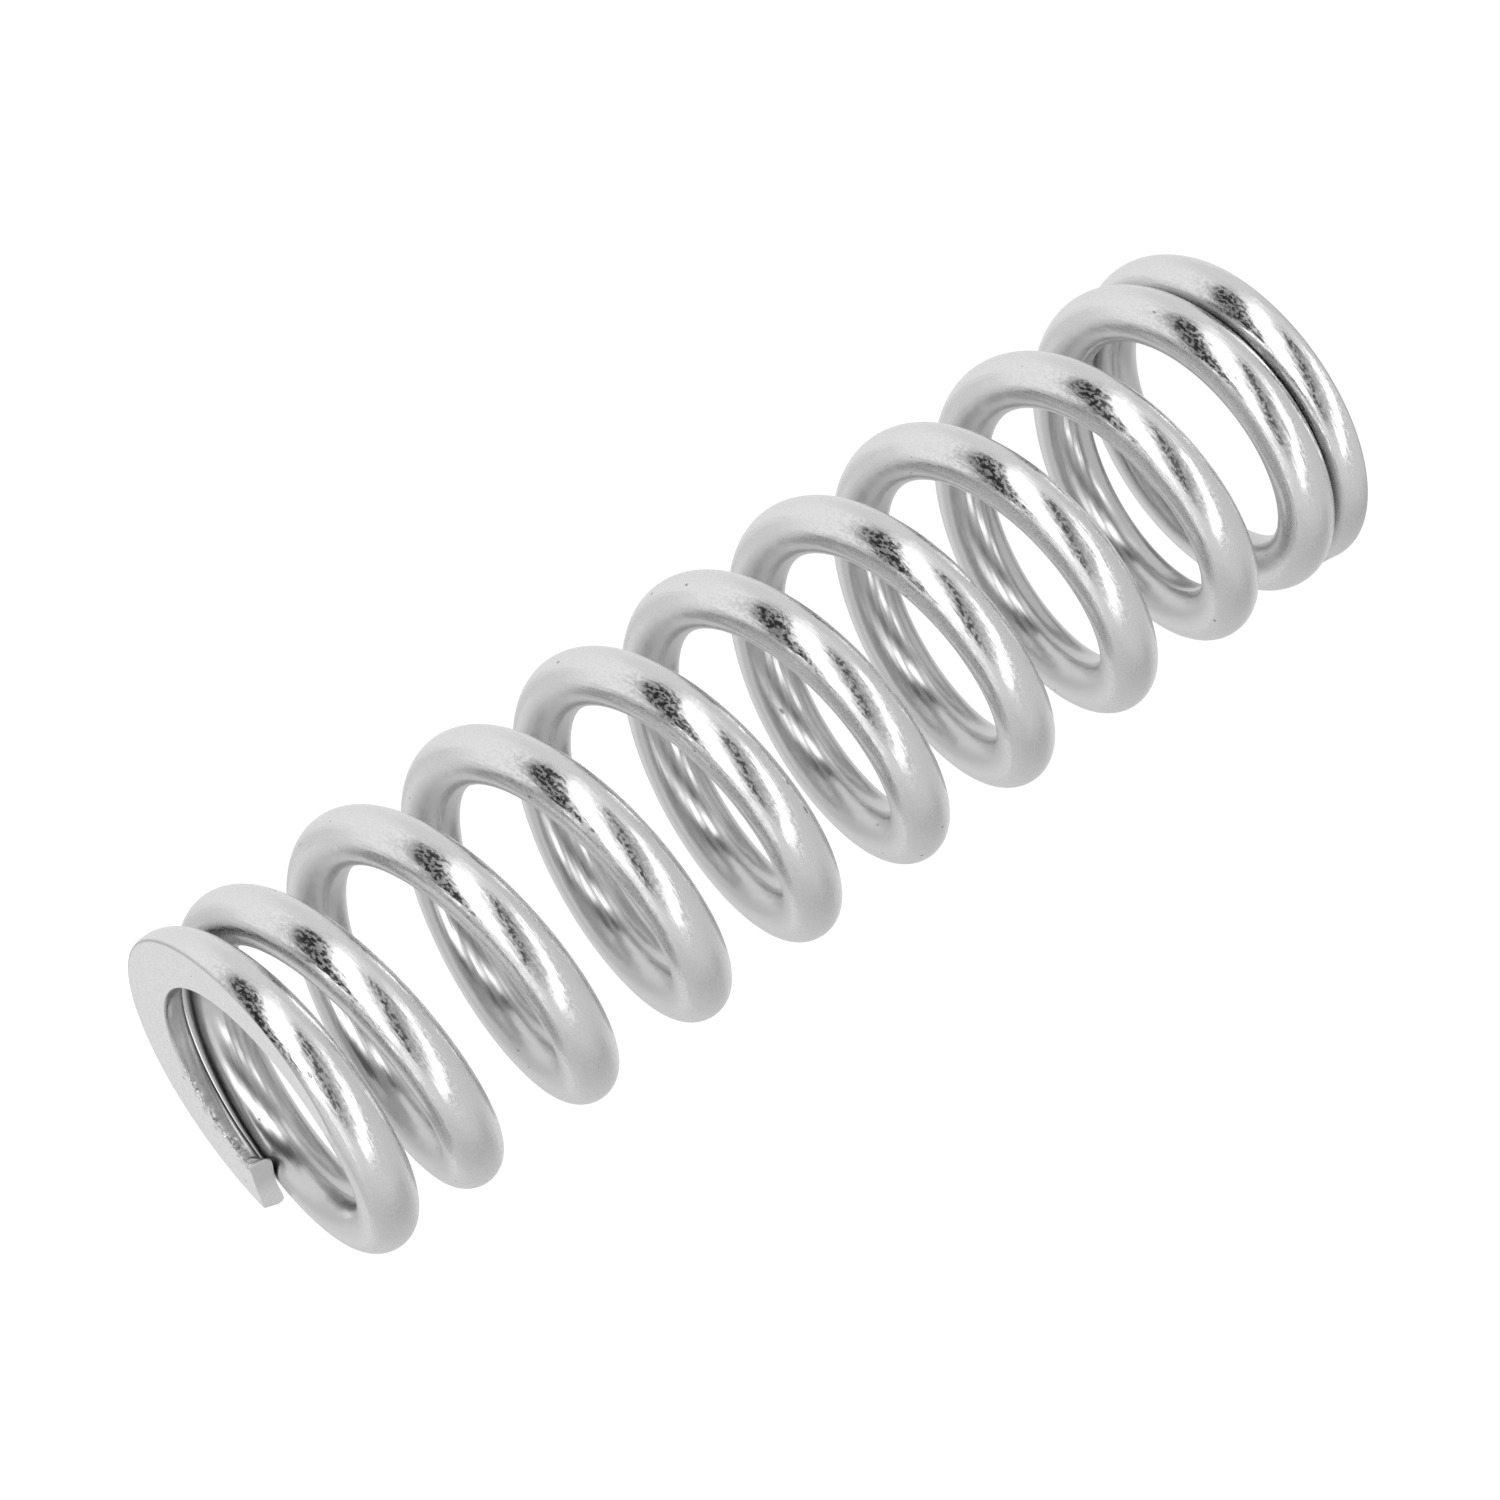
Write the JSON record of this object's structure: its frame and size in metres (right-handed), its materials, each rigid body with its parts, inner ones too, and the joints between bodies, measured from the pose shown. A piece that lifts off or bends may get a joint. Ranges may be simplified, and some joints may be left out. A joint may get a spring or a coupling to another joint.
{
  "type": "helical compression spring",
  "caption": "Right-hand helical compression spring of round zinc-plated steel wire, with closed ends ground flat.",
  "frame": {"origin": "centre of the lower ground end, on the coil's axis", "axes": "+Z along the coil's axis from the lower to the upper ground end; +X from the axis to the lower wire tip"},
  "size_m": [0.013, 0.013, 0.045],
  "materials": {
    "zinc_plated_steel": "bright zinc plate over drawn wire, with fine grain and pits"
  },
  "bodies": {
    "root": {"spring": "zinc_plated_steel"}
  },
  "joints": []
}
